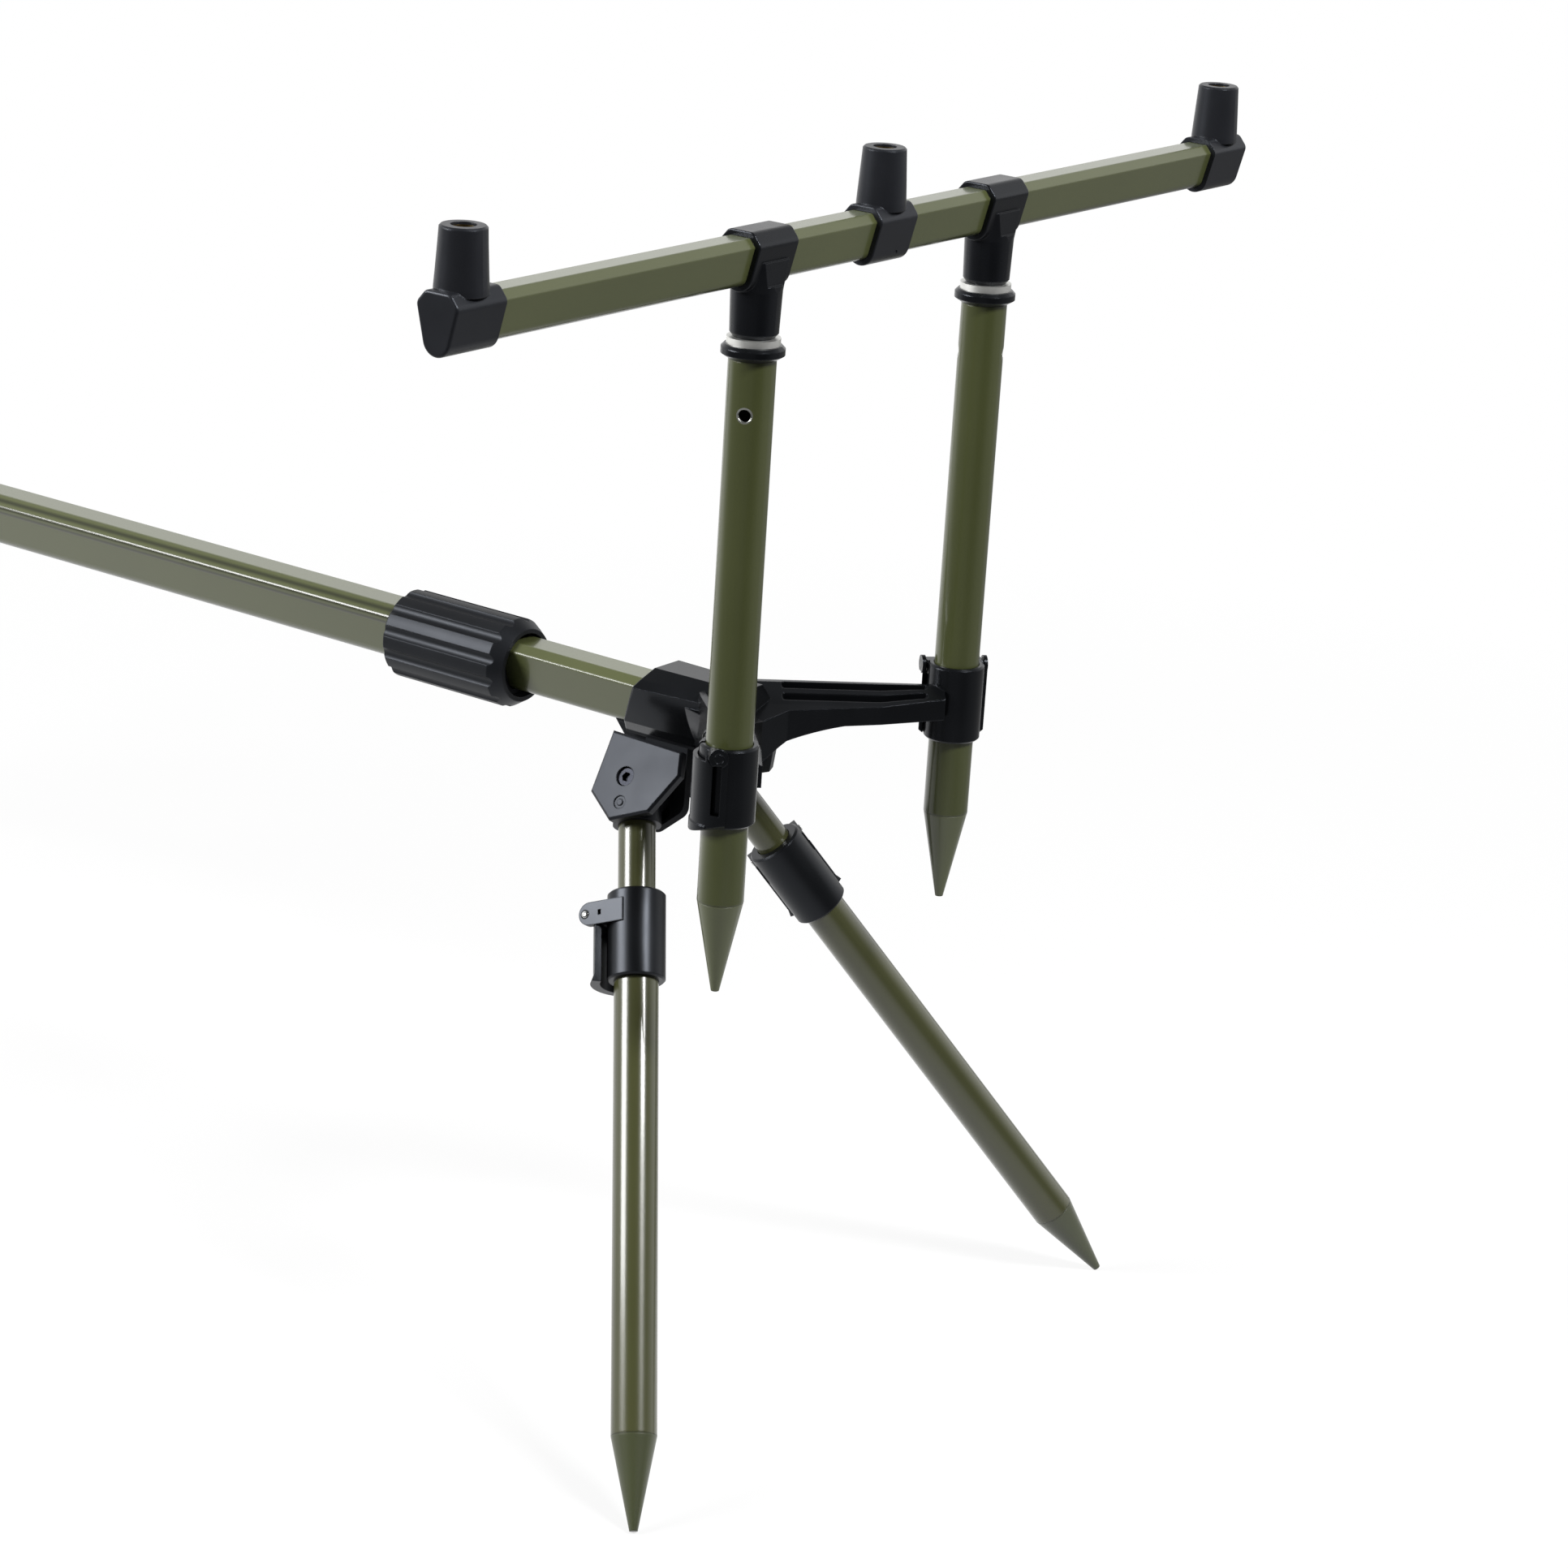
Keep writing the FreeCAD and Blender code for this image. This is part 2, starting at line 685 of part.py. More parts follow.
def knuckle():
    """Right leg's knuckle: a six-sided plate with a recessed bolt, a round core and the leg's holder."""
    points = [V(knuckle_width * u, knuckle_height * v, knuckle_outer - knuckle_plate)
              for u, v in knuckle_outline_shares]
    plate = polygon_face(points).extrude(V(0, 0, knuckle_plate))
    rims = edges_at(plate, lambda c, e: c.z > knuckle_outer - pivot_gap)
    plate = plate.makeChamfer(knuckle_edge, rims)
    front = knuckle_outer - knuckle_plate + overrun
    core = leg_frame(disc(knuckle_core_radius, knuckle_inner + front, V(-knuckle_inner, 0, 0), X_AXIS))
    holder = disc(holder_radius, holder_length)
    holder = leg_frame(holder.common(block(-knuckle_inner, front, -holder_radius, holder_radius,
                                           0, holder_length)))
    body = joined([hinge_frame(plate), core, holder])
    span = knuckle_inner + knuckle_outer + 2 * overrun
    cuts = [
        disc(bolt_radius + pivot_gap, span, V(0, 0, -knuckle_inner - overrun)),
        disc(bolt_recess_radius, bolt_recess_depth + overrun, V(0, 0, knuckle_outer - bolt_recess_depth)),
        disc(mark_radius, mark_depth + overrun, V(mark_shift, -mark_drop, knuckle_outer - mark_depth)),
    ]
    seat = leg_frame(disc(upper_radius + bond_gap, holder_length, V(0, 0, upper_start - bond_gap)))
    mark = disc(mark_radius / 2, mark_depth, V(mark_shift, -mark_drop, knuckle_outer - mark_depth))
    return body.cut([hinge_frame(tool) for tool in cuts] + [seat]).fuse(hinge_frame(mark))


def pipe(radius, wall, start, length):
    tube = disc(radius, length, V(0, 0, start))
    return tube.cut(disc(radius - wall, length + 2 * overrun, V(0, 0, start - overrun)))


def spike(radius, wall, start, length):
    """Pointed foot: a cone with a short plug that fits inside its tube, drawn pointing up Z."""
    plug = radius - wall - bond_gap
    return turned([
        (0, start - spike_plug), (plug, start - spike_plug), (plug, start), (radius, start),
        (tip_radius, start + length), (0, start + length)])


def leg_length():
    """Along the leg to the blunt tip's middle, so that the tip's lowest edge is on the ground."""
    start, out, across, down = leg_axes()
    return (start.z - tip_radius * math.sqrt(1 - down.z * down.z)) / -down.z


def upper_tube():
    return leg_frame(pipe(upper_radius, upper_wall, upper_start, upper_end - upper_start))


def lower_tube():
    return leg_frame(pipe(lower_radius, lower_wall, lower_start, cone_start - lower_start - bond_gap))


def leg_spike():
    return leg_frame(spike(lower_radius, lower_wall, cone_start, leg_length() - cone_start))


def clamp_frame(shape, turn):
    """Turns a shape drawn about the leg's axis, lever side along X, to the lever's side of the leg."""
    turned_shape = shape.copy()
    turned_shape.rotate(ORIGIN, Z_AXIS, 90 - turn)
    return leg_frame(turned_shape)


def ear(side):
    """One ear of the leg clamp: a flat tab with a round end, a hole for the axle and a small slot."""
    y0 = ear_offset if side > 0 else -ear_offset - ear_thickness
    middle = clamp_top + ear_drop
    round_end = ear_reach - ear_round_inset
    tab = block(ear_inset, round_end, y0, y0 + ear_thickness, middle - ear_half_height,
                middle + ear_half_height)
    tab = tab.fuse(disc(ear_half_height, ear_thickness, V(round_end, y0, middle), Y_AXIS))
    hole = disc(lever_axle + pivot_gap, ear_thickness + 2 * overrun, V(ear_reach, y0 - overrun, middle),
                Y_AXIS)
    slot = block(ear_slot_out - ear_slot_width / 2, ear_slot_out + ear_slot_width / 2, y0 - overrun,
                 y0 + ear_thickness + overrun, middle - ear_slot_length / 2, middle + ear_slot_length / 2)
    return tab.cut([hole, slot])


def leg_clamp(turn):
    """Clamp on top of the lower tube: round barrel with a lip over the upper tube, and two ears."""
    end = clamp_top + clamp_length
    barrel = turned([
        (0, clamp_top), (clamp_radius - clamp_rounding, clamp_top),
        (clamp_radius, clamp_top + clamp_rounding), (clamp_radius, end - clamp_rounding),
        (clamp_radius - clamp_rounding, end), (0, end)])
    body = barrel.fuse([ear(1), ear(-1)])
    mouth = disc(upper_radius + slide_gap, clamp_length, V(0, 0, clamp_top - overrun))
    grip = disc(lower_radius + bond_gap, clamp_length, V(0, 0, lower_start - bond_gap))
    return clamp_frame(body.cut([mouth, grip]), turn)


def leg_lever(turn):
    """Leg clamp's lever: a curved panel with a lip, its top between the ears on a short axle with a cam."""
    middle = clamp_top + ear_drop
    shoulder = middle + ear_half_height + slide_gap
    top = clamp_top + leg_panel_top
    end = clamp_top + clamp_length + leg_panel_overhang
    inside = leg_panel_outer - leg_panel_wall
    panel = turned([(inside, top), (leg_panel_outer, top), (leg_panel_outer, end - leg_lip_height),
                    (leg_panel_outer + leg_lip, end), (inside, end)])
    panel = panel.common(wedge_prism(leg_panel_half_angle, 2 * leg_panel_outer, top, end))
    width = ear_offset - slide_gap
    beside = block(0, 2 * leg_panel_outer, width, 2 * leg_panel_outer, top, shoulder)
    panel = panel.cut([beside, mirrored(beside)])
    cam = disc(cam_radius, 2 * width, V(ear_reach, -width, middle), Y_AXIS)
    reach = ear_offset + ear_thickness - lever_axle_inset
    axle = disc(lever_axle, 2 * reach, V(ear_reach, -reach, middle), Y_AXIS)
    return clamp_frame(joined([panel, cam, axle]), turn)


# Goalpost

def upright(hole_angle):
    """Right upright tube, with the small cross hole near its top."""
    start = upright_tip + upright_cone
    tube = pipe(upright_radius, upright_wall, start + bond_gap, upright_top - start - bond_gap)
    height = upright_top - cross_hole_drop
    drill = disc(cross_hole_radius, 4 * upright_radius, V(-2 * upright_radius, 0, height), X_AXIS)
    drill.rotate(ORIGIN, Z_AXIS, hole_angle)
    tube = tube.cut(drill)
    tube.translate(V(0, -upright_spacing / 2, 0))
    return tube


def upright_spike():
    point = spike(upright_radius, upright_wall, 0, upright_cone)
    point.rotate(ORIGIN, X_AXIS, 180)
    point.translate(V(0, -upright_spacing / 2, upright_tip + upright_cone))
    return point


def flange():
    """Plastic end piece in the upright: a plug, and the wide flange that stops at the sleeve."""
    plug = upright_radius - upright_wall - bond_gap
    ring = turned([
        (stud_radius + bond_gap, upright_top - flange_plug), (plug, upright_top - flange_plug),
        (plug, upright_top), (upright_radius + slide_gap, upright_top),
        (flange_radius, upright_top + flange_taper), (flange_radius, flange_top - flange_rounding),
        (flange_radius - flange_rounding, flange_top),
        (stud_radius + bond_gap, flange_top)])
    ring.translate(V(0, -upright_spacing / 2, 0))
    return ring


def coupling_ring():
    """Metal washer face and stud that join the upright to the moulding on the buzz bar."""
    ring = disc(ring_radius, ring_height - bond_gap, V(0, 0, flange_top + bond_gap))
    stud = disc(stud_radius, ring_height + 2 * stud_reach, V(0, 0, flange_top - stud_reach))
    body = ring.fuse(stud)
    body.translate(V(0, -upright_spacing / 2, 0))
    return body


def buzz_tube():
    skin = buzz_prism(0, -buzz_half, buzz_half)
    return skin.cut(buzz_prism(-buzz_wall, -buzz_half - overrun, buzz_half + overrun))


def band(middle):
    """Moulded band round the buzz bar, with softened rims."""
    wrap = buzz_prism(band_wall, middle - band_half, middle + band_half)
    rims = edges_at(wrap, lambda c, e: abs(abs(c.y - middle) - band_half) < pivot_gap)
    return wrap.makeFillet(band_edge, rims)


def tee():
    """Right tee: a band round the bar, webbed down into the round post that stands on the upright."""
    middle = -upright_spacing / 2
    base = ring_top + bond_gap
    crown = buzz_bottom + buzz_height / 2
    post = turned([
        (0, base), (tee_foot_radius, base), (tee_radius, base + tee_foot_height),
        (tee_top_radius, buzz_bottom - tee_blend), (band_half - band_edge, crown), (0, crown)])
    post.translate(V(0, middle, 0))
    flank = buzz_width / 2 + band_wall
    wide = block(-tee_top_radius, tee_top_radius, middle - band_half, middle + band_half, base, buzz_bottom)
    high = block(-flank + band_edge, flank - band_edge, middle - band_half, middle + band_half,
                 buzz_bottom, crown)
    body = band(middle).fuse(post.common(wide.fuse(high)))
    room = buzz_prism(bond_gap, middle - 2 * band_half, middle + 2 * band_half)
    stud = disc(stud_radius + bond_gap, stud_reach + overrun, V(0, middle, base - overrun))
    return body.cut([room, stud]).removeSplitter()


def post(middle, base):
    """Tapered hollow post that takes a threaded accessory, on top of a band or cap."""
    top = base + post_height
    body = turned([
        (0, base - post_foot), (post_base_radius, base - post_foot), (post_base_radius, base),
        (post_top_radius, top - post_edge), (post_top_radius - post_edge, top), (0, top)])
    body.translate(V(0, middle, 0))
    return body


def post_bore(middle, base):
    """Room in the post for its threaded insert, down to the buzz bar's top."""
    floor = base + post_height - insert_inset - insert_length
    return disc(post_hole_radius, insert_length + insert_inset + overrun, V(0, middle, floor))


def centre_post():
    """Middle post: a band round the bar with a tapered post on top and a small dimple in front."""
    base = buzz_top + band_wall
    body = band(0).fuse(post(0, base).common(block(-band_half, band_half, -band_half, band_half,
                                                   buzz_top, base + post_height)))
    room = buzz_prism(bond_gap, -2 * band_half, 2 * band_half)
    face = buzz_toe + band_wall
    dimple = disc(dimple_radius, dimple_depth + overrun,
                  V(face - dimple_depth, dimple_shift, buzz_bottom + buzz_toe / 2), X_AXIS)
    return body.cut([room, post_bore(0, base), dimple]).removeSplitter()


def end_cap():
    """Right end cap: closed shield-shaped end over the bar, with the same tapered post on top."""
    outer_face = -buzz_half - cap_face
    base = buzz_top + cap_wall + pivot_gap
    shell = buzz_prism(cap_wall, outer_face, outer_face + cap_length)
    rims = edges_at(shell, lambda c, e: abs(c.y - outer_face) < pivot_gap)
    shell = shell.makeFillet(cap_wall * 0.5, rims)
    middle = -post_offset
    lump = post(middle, base).common(block(-band_half, band_half, outer_face + cap_wall * 0.5,
                                           outer_face + cap_length, buzz_top, base + post_height))
    body = shell.fuse(lump)
    room = buzz_prism(bond_gap, -buzz_half - bond_gap, outer_face + 2 * cap_length)
    return body.cut([room, post_bore(middle, base)]).removeSplitter()


def insert(middle, base):
    """Threaded brass insert in a post, drawn with a plain bore."""
    floor = base + post_height - insert_inset - insert_length + bond_gap
    sleeve_part = disc(post_hole_radius - bond_gap, insert_length - bond_gap, V(0, middle, floor))
    return sleeve_part.cut(disc(insert_bore, insert_length + 2 * overrun, V(0, middle, floor - overrun)))


def threaded_inserts():
    cap_insert = insert(-post_offset, buzz_top + cap_wall + pivot_gap)
    return Part.makeCompound([insert(0, buzz_top + band_wall), cap_insert, mirrored(cap_insert)])


def end_pieces():
    """Every piece of one end by name, with that end's uprights at x = 0."""
    pieces = {
        "collet": collet(),
        "collar": collar(),
        "inner_tube": inner_tube(),
        "yoke": head(),
        "pivot_bolts": pivot_bolts(),
        "upright_spikes": side_pair(upright_spike()),
        "upright_flanges": side_pair(flange()),
        "coupling_studs": side_pair(coupling_ring()),
        "buzz_bar_tube": buzz_tube(),
        "tee_fittings": side_pair(tee()),
        "centre_post": centre_post(),
        "end_caps": side_pair(end_cap()),
        "threaded_inserts": threaded_inserts(),
    }
    sided = {
        "sleeve_lever": sleeve_lever(),
        "leg_knuckle": knuckle(),
        "leg_upper_tube": upper_tube(),
        "leg_lower_tube": lower_tube(),
        "leg_spike": leg_spike(),
    }
    pieces["right_upright_tube"] = upright(right_cross_hole_angle)
    pieces["left_upright_tube"] = mirrored(upright(-left_cross_hole_angle))
    pieces["right_leg_clamp"] = leg_clamp(right_lever_turn)
    pieces["left_leg_clamp"] = mirrored(leg_clamp(left_lever_turn))
    pieces["right_leg_lever"] = leg_lever(right_lever_turn)
    pieces["left_leg_lever"] = mirrored(leg_lever(left_lever_turn))
    for name, shape in sided.items():
        pieces["right_" + name] = shape
        pieces["left_" + name] = mirrored(shape)
    return pieces


def whole_pod():
    nodes = {"main_outer_tube": outer_tube()}
    for name, shape in end_pieces().items():
        front = shape.copy()
        front.translate(V(half_span, 0, 0))
        nodes["front_" + name] = front
        rear = front.copy()
        rear.rotate(ORIGIN, Z_AXIS, 180)
        nodes["rear_" + name] = rear
    return nodes


os.makedirs("parts", exist_ok=True)
for node, solid in whole_pod().items():
    solid.exportStep("parts/" + node + ".step")
    print(node, "solids", len(solid.Solids), "valid", solid.isValid(), "volume", round(solid.Volume, 1))
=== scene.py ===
import bpy
import json
import math
from mathutils import Matrix, Vector


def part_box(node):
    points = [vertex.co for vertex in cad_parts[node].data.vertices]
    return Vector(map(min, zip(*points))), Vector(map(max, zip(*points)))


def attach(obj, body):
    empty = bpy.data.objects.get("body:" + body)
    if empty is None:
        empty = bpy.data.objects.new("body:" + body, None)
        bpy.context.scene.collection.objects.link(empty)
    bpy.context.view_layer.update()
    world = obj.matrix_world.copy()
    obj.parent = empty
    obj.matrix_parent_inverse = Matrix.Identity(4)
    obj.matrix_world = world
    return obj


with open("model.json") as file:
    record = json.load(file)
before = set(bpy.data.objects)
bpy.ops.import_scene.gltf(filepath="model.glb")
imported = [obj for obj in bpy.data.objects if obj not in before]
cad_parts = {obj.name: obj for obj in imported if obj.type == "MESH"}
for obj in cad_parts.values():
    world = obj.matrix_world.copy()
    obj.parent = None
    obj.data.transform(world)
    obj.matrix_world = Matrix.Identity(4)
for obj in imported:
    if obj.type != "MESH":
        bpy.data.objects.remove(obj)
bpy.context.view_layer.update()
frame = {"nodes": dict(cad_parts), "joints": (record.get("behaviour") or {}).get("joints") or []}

# Middle tube of the main bar: aluminium drawn to a shield section, open at both ends and stove
# enamelled olive green. The enamel shows soft pale strips of the lamps, and its colour hardly varies.
# Die lines from the drawing run along its two upper bevels and just below them, under the paint, each a
# groove with painted shade.


def from_hex(text):
    """sRGB hex to the linear colour that a shader takes."""
    parts = [int(text[i:i + 2], 16) / 255 for i in (0, 2, 4)]
    return tuple(c / 12.92 if c <= 0.04045 else ((c + 0.055) / 1.055) ** 2.4 for c in parts) + (1.0,)


def add(tree, kind, sockets=None, **settings):
    """Adds one node: settings are its own properties, sockets its inputs' values or links."""
    node = tree.nodes.new(kind)
    for name, value in settings.items():
        setattr(node, name, value)
    for name, value in (sockets or {}).items():
        if isinstance(value, bpy.types.NodeSocket):
            tree.links.new(value, node.inputs[name])
        else:
            node.inputs[name].default_value = value
    return node


def dress(names, material):
    """Gives CAD nodes their finish."""
    for name in names:
        slots = frame["nodes"][name].data.materials
        slots.clear()
        slots.append(material)


def stove_enamel(name, base, deep, rough):
    """Olive stove enamel: a slight orange peel, and a tone and shine that drift along the tube.
    The drawing die rounds every long corner by about 1 mm, and the enamel fills it a little more."""
    drift_width = 0.06
    peel_width = 0.0016
    peel_depth = 0.0002
    corner_round = 0.0012
    shinier, duller = 0.03, 0.05
    material = bpy.data.materials.new(name)
    material.use_nodes = True
    tree = material.node_tree
    tree.nodes.clear()
    place = add(tree, "ShaderNodeTexCoord", name="place").outputs["Object"]
    drift = add(tree, "ShaderNodeTexNoise", {
        "Vector": place, "Scale": 1 / drift_width, "Detail": 2.0})
    tone = add(tree, "ShaderNodeMix", {
        0: drift.outputs[0], 6: from_hex(deep), 7: from_hex(base)}, data_type="RGBA", name="tone")
    peel = add(tree, "ShaderNodeTexNoise", {
        "Vector": place, "Scale": 1 / peel_width, "Detail": 1.0})
    corner = add(tree, "ShaderNodeBevel", {"Radius": corner_round}, samples=4)
    ripple = add(tree, "ShaderNodeBump", {
        "Height": peel.outputs[0], "Strength": 0.03, "Distance": peel_depth,
        "Normal": corner.outputs[0]}, name="ripple")
    dust = add(tree, "ShaderNodeMapRange", {
        "Value": drift.outputs[0], 3: rough - shinier, 4: rough + duller})
    paint = add(tree, "ShaderNodeBsdfPrincipled", {
        "Base Color": tone.outputs[2], "Roughness": dust.outputs[0], "Normal": ripple.outputs[0],
        "IOR": 1.5, "Coat Weight": 0.6, "Coat Roughness": 0.1}, name="paint")
    add(tree, "ShaderNodeOutputMaterial", {"Surface": paint.outputs[0]})
    return material


die_line_pitch = 0.0026
die_line_depth = 0.0002
bevel_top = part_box("main_outer_tube")[1][2]
bevel_depth = 0.0085
bevel_foot = bevel_top - bevel_depth
bevel_foot_fade = 0.0004
rim_margin = 0.0003
bevel_rim = bevel_top - rim_margin
bevel_rim_fade = 0.0002
wave_unit = 0.314    # pitch of a wave pattern's bands at a scale of 1
drawn_enamel = stove_enamel("olive_enamel_over_die_lines", "565B38", "4D5232", 0.30)
tree = drawn_enamel.node_tree
place = tree.nodes["place"].outputs["Object"]
height = add(tree, "ShaderNodeSeparateXYZ", {0: place}).outputs[2]
lines = add(tree, "ShaderNodeTexWave", {
    "Vector": place, "Scale": wave_unit / die_line_pitch, "Distortion": 0.0},
    wave_type="BANDS", bands_direction="Z")
above_foot = add(tree, "ShaderNodeMapRange", {
    "Value": height, 1: bevel_foot - bevel_foot_fade, 2: bevel_foot, 3: 0.0, 4: 1.0})
below_rim = add(tree, "ShaderNodeMapRange", {
    "Value": height, 1: bevel_rim, 2: bevel_rim + bevel_rim_fade, 3: 1.0, 4: 0.0})
on_bevel = add(tree, "ShaderNodeMath", {
    0: above_foot.outputs[0], 1: below_rim.outputs[0]}, operation="MULTIPLY")
grooves = add(tree, "ShaderNodeMath", {
    0: lines.outputs[1], 1: on_bevel.outputs[0]}, operation="MULTIPLY")
# The die lines' grooves are painted darker, as painted shade.
darker = add(tree, "ShaderNodeMix", {
    0: grooves.outputs[0], 6: tree.nodes["tone"].outputs[2], 7: from_hex("2E311C")}, data_type="RGBA")
cut = add(tree, "ShaderNodeBump", {
    "Height": grooves.outputs[0], "Strength": 0.5, "Distance": die_line_depth,
    "Normal": tree.nodes["ripple"].outputs[0]})
tree.links.new(darker.outputs[2], tree.nodes["paint"].inputs["Base Color"])
tree.links.new(cut.outputs[0], tree.nodes["paint"].inputs["Normal"])
dress(["main_outer_tube"], drawn_enamel)

# Inner tubes of the main bar: the same shield section one size smaller, drawn and enamelled with it.
# Each slides in the middle tube and is bonded in its yoke's socket.

olive_enamel = stove_enamel("olive_stove_enamel", "565B38", "4D5232", 0.28)
dress(["front_inner_tube", "rear_inner_tube"], olive_enamel)

# Collets and twist-lock collars: black glass-filled nylon, moulded in spark-eroded tools. The even
# grain turns the lamps into a soft grey sheen, and greyer patches show where the fibres lie.
# The collet is fixed on the tube's end, and the fluted collar turns on it.


def moulded_nylon(name, base, pale, rough):
    """Moulded nylon with a spark grain about 0.35 mm across, drawn as 0.5 mm so that it shows.
    The open grain hides part of the shine, and carbon black cools it. Every edge is broken."""
    fibre_width = 0.018
    grain_width = 0.0005
    grain_depth = 0.0001
    broken_edge = 0.0006
    shinier, duller = 0.05, 0.06
    material = bpy.data.materials.new(name)
    material.use_nodes = True
    tree = material.node_tree
    tree.nodes.clear()
    place = add(tree, "ShaderNodeTexCoord", name="place").outputs["Object"]
    fibres = add(tree, "ShaderNodeTexNoise", {
        "Vector": place, "Scale": 1 / fibre_width, "Detail": 3.0})
    tone = add(tree, "ShaderNodeMix", {
        0: fibres.outputs[0], 6: from_hex(base), 7: from_hex(pale)}, data_type="RGBA")
    grain = add(tree, "ShaderNodeTexNoise", {
        "Vector": place, "Scale": 1 / grain_width, "Detail": 2.0})
    edge = add(tree, "ShaderNodeBevel", {"Radius": broken_edge}, samples=4)
    bump = add(tree, "ShaderNodeBump", {
        "Height": grain.outputs[0], "Strength": 0.14, "Distance": grain_depth,
        "Normal": edge.outputs[0]})
    shine = add(tree, "ShaderNodeMapRange", {
        "Value": fibres.outputs[0], 3: rough - shinier, 4: rough + duller}, name="shine")
    nylon = add(tree, "ShaderNodeBsdfPrincipled", {
        "Base Color": tone.outputs[2], "Roughness": shine.outputs[0], "Normal": bump.outputs[0],
        "IOR": 1.53, "Specular IOR Level": 0.33, "Specular Tint": from_hex("E4EBF8")}, name="nylon")
    add(tree, "ShaderNodeOutputMaterial", {"Surface": nylon.outputs[0]})
    return material


collar_nylon = moulded_nylon("black_nylon_of_grip_collar", "0A0B0D", "121316", 0.44)
dress(["front_collet", "rear_collet", "front_collar", "rear_collar"], collar_nylon)

# Yokes: one nylon moulding each, with the socket for the bar, two arms and the two sleeves for the
# uprights. The tool is smoother than the collars', so edges catch sharper lights, but the lugs are
# coarse and dull where the knuckles turn. A rib stiffens the socket, and a skin closes each index hole.


def select_none():
    """Leaves nothing selected, so that the next operator acts on its own piece alone."""
    bpy.ops.object.select_all(action="DESELECT")


def select_corners(piece, wanted):
    """In edit mode afterwards, with only the corners selected that are wanted."""
    bpy.ops.object.mode_set(mode="EDIT")
    bpy.ops.mesh.select_all(action="DESELECT")
    bpy.ops.object.mode_set(mode="OBJECT")
    for corner in piece.data.vertices:
        corner.select = wanted(corner.co)
    bpy.ops.object.mode_set(mode="EDIT")


def select_top(piece):
    """In edit mode afterwards, with only the upward face selected."""
    upward = 0.9
    bpy.ops.object.mode_set(mode="EDIT")
    bpy.ops.mesh.select_all(action="DESELECT")
    bpy.ops.object.mode_set(mode="OBJECT")
    for face in piece.data.polygons:
        face.select = face.normal.z > upward
    bpy.ops.object.mode_set(mode="EDIT")


def stepped_disc(radius, foot, top, sides, steps, blend, material):
    """A disc on the Z axis whose top is cut in rings, each step going in and then up.
    Gives its mesh, which set_copy then places."""
    select_none()
    bpy.ops.mesh.primitive_cylinder_add(vertices=sides, radius=radius, depth=top - foot,
                                        location=(0, 0, (foot + top) / 2))
    disc = bpy.context.object
    bpy.ops.object.transform_apply(location=True, rotation=True, scale=True)
    select_top(disc)
    for inwards, upwards in steps:
        bpy.ops.mesh.inset(thickness=inwards)
        bpy.ops.transform.translate(value=(0, 0, upwards))
    bpy.ops.object.mode_set(mode="OBJECT")
    bpy.ops.object.shade_smooth_by_angle(angle=math.radians(blend))
    disc.data.materials.append(material)
    shape = disc.data
    bpy.data.objects.remove(disc)
    return shape


def set_copy(name, shape, place, body):
    """Puts a copy of a shape, with a mesh of its own, at its place on a body."""
    mesh = shape.copy()
    mesh.transform(place)
    piece = bpy.data.objects.new(name, mesh)
    bpy.context.collection.objects.link(piece)
    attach(piece, body)


def facing(point, direction):
    """The place at a point whose Z axis looks along a direction."""
    return Matrix.Translation(point) @ direction.to_track_quat("Z", "Y").to_matrix().to_4x4()


def joint_named(name):
    """A joint of the part, by its name."""
    return next(joint for joint in frame["joints"] if joint["name"] == name)


lug_root = 0.2640
lug_root_fade = 0.001
lug_roughness = 0.85
yoke_nylon = moulded_nylon("black_nylon_of_yoke", "08090A", "0F1012", 0.24)
tree = yoke_nylon.node_tree
height = add(tree, "ShaderNodeSeparateXYZ", {0: tree.nodes["place"].outputs["Object"]}).outputs[2]
coarse = add(tree, "ShaderNodeMapRange", {
    "Value": height, 1: lug_root, 2: lug_root + lug_root_fade, 3: lug_roughness, 4: 0.0})
dull = add(tree, "ShaderNodeMath", {
    0: coarse.outputs[0], 1: tree.nodes["shine"].outputs[0]}, operation="MAXIMUM")
tree.links.new(dull.outputs[0], tree.nodes["nylon"].inputs["Roughness"])
dress(["front_yoke", "rear_yoke"], yoke_nylon)

rib_size = (0.041, 0.0045, 0.014)
rib_middle = (0.3515, 0.0, 0.2590)
rib_toe = (0.006, 0.0, 0.007)
rib_edge = 0.0008
select_none()
bpy.ops.mesh.primitive_cube_add(size=1, location=rib_middle, scale=rib_size)
rib = bpy.context.object
rib.name = "front_socket_rib"
bpy.ops.object.transform_apply(location=True, rotation=True, scale=True)
select_corners(rib, lambda spot: spot.x < rib_middle[0] and spot.z < rib_middle[2])
bpy.ops.transform.translate(value=rib_toe)
bpy.ops.object.mode_set(mode="OBJECT")
soften = rib.modifiers.new("soften", "BEVEL")
soften.width = rib_edge
soften.segments = 3
bpy.ops.object.modifier_apply(modifier="soften")
bpy.ops.object.shade_smooth_by_angle(angle=math.radians(35))
rib.data.materials.append(yoke_nylon)
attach(rib, "front_carriage")
set_copy("rear_socket_rib", rib.data, Matrix.Rotation(math.pi, 4, "Z"), "rear_carriage")

